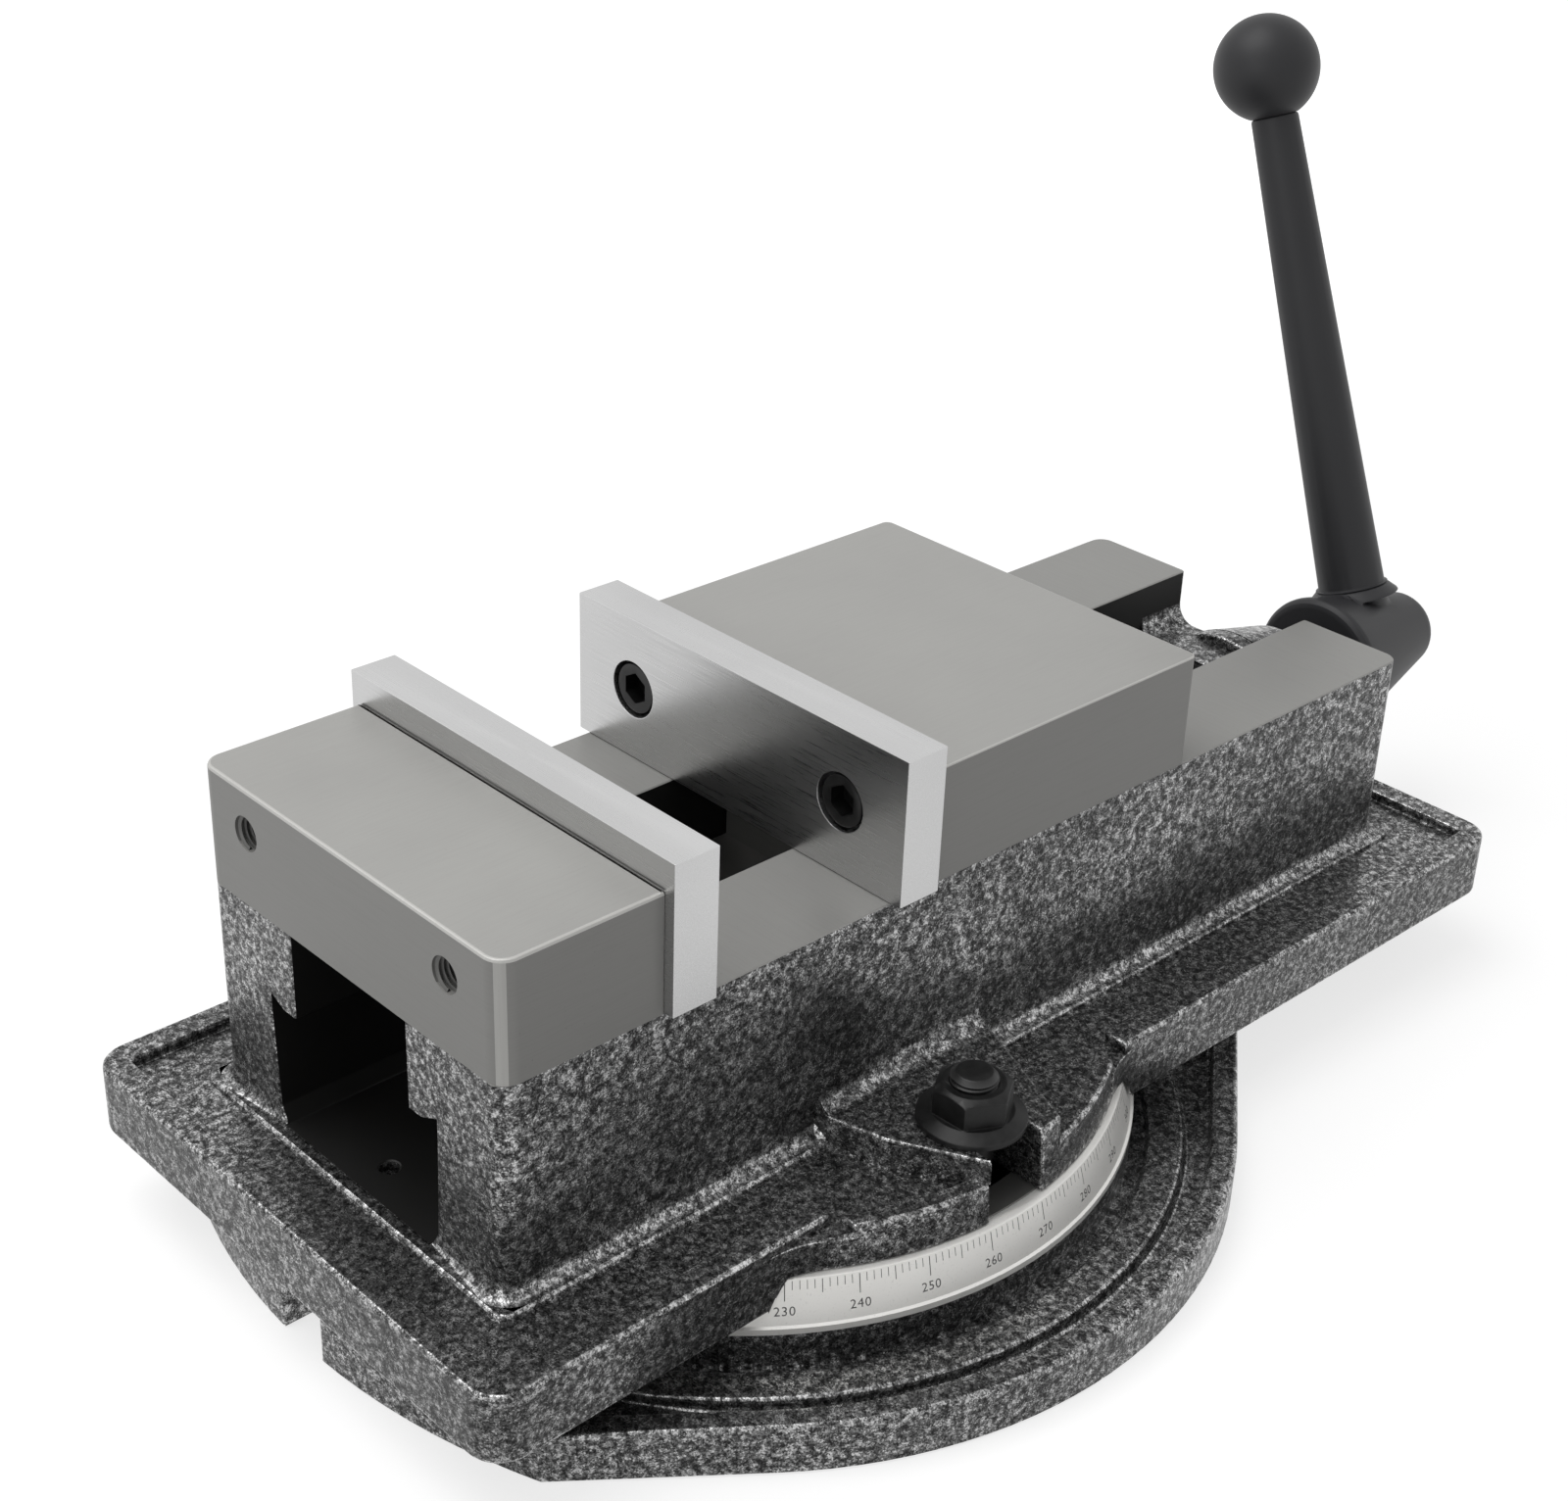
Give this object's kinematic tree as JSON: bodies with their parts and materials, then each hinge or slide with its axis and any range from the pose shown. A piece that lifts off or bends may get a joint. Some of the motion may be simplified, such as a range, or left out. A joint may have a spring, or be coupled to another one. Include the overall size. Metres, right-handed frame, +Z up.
{
  "type": "swivel machine vise",
  "caption": "Machine vise on a graduated turning base, with flat jaw plates, an anti-lift drive nut on a lead screw and a crank handle with a ball end.",
  "frame": {"origin": "on the swivel axis, at the bottom of the base", "axes": "+X along the lead screw towards the handle, +Z up from the table"},
  "size_m": [0.5912, 0.355, 0.3312],
  "materials": {
    "cast_paint": "hammered grey paint on a casting",
    "dial_steel": "turned bright, engraved",
    "turned_steel": "turned",
    "ground_iron": "ground",
    "plate_steel": "ground bright",
    "nut_iron": "machined casting",
    "black_steel": "black oxide",
    "cage_brass": "satin",
    "handle_paint": "matt dark grey paint"
  },
  "bodies": {
    "base": {"swivel_base": "cast_paint", "dial_ring": "dial_steel", "pivot_pin": "turned_steel"},
    "vise": {"vise_body": "cast_paint", "fixed_jaw": "ground_iron", "fixed_jaw_keys": "turned_steel", "fixed_jaw_bolts": "black_steel", "fixed_jaw_plate": "plate_steel", "fixed_plate_screws": "black_steel", "outer_race": "turned_steel", "clamp_bolts": "black_steel"},
    "jaw": {"movable_jaw": "ground_iron", "movable_jaw_plate": "plate_steel", "movable_plate_screws": "black_steel", "drive_nut": "nut_iron", "half_ball": "turned_steel", "nut_set_screw": "black_steel"},
    "screw": {"lead_screw": "turned_steel", "inner_race": "turned_steel", "screw_collar": "black_steel", "collar_set_screw": "black_steel"},
    "cage": {"ball_cage": "cage_brass"},
    "crank": {"handle": "handle_paint", "handle_ball": "handle_paint"},
    "nut_near": {"clamp_nut_near": "black_steel"},
    "nut_far": {"clamp_nut_far": "black_steel"}
  },
  "joints": [
    {"name": "swivel", "type": "hinge", "parent": "base", "child": "vise", "pos_m": [0, 0, 0.039], "axis": [0, 0, 1], "continuous": true},
    {"name": "jaw_slide", "type": "slide", "parent": "vise", "child": "jaw", "axis": [1, 0, 0], "range_m": [-0.0768, 0.093]},
    {"name": "screw_turn", "type": "hinge", "parent": "vise", "child": "screw", "pos_m": [0.3, 0, 0.077], "axis": [1, 0, 0], "range_deg": [-5540, 6710]},
    {"name": "cage_turn", "type": "hinge", "parent": "vise", "child": "cage", "pos_m": [0.256, 0, 0.077], "axis": [1, 0, 0], "range_deg": [-2770, 3355]},
    {"name": "crank_pull_off", "type": "slide", "parent": "screw", "child": "crank", "axis": [1, 0, 0], "range_m": [0, 0.045]},
    {"name": "nut_near_turn", "type": "hinge", "parent": "vise", "child": "nut_near", "pos_m": [0, -0.111, 0.069], "axis": [0, 0, 1], "range_deg": [0, 180]},
    {"name": "nut_far_turn", "type": "hinge", "parent": "vise", "child": "nut_far", "pos_m": [0, 0.111, 0.069], "axis": [0, 0, 1], "range_deg": [0, 180]}
  ],
  "couplings": [
    {"joint": "screw_turn", "follows": "jaw_slide", "rad_per_m": 1256.6},
    {"joint": "cage_turn", "follows": "jaw_slide", "rad_per_m": 628.32}
  ]
}
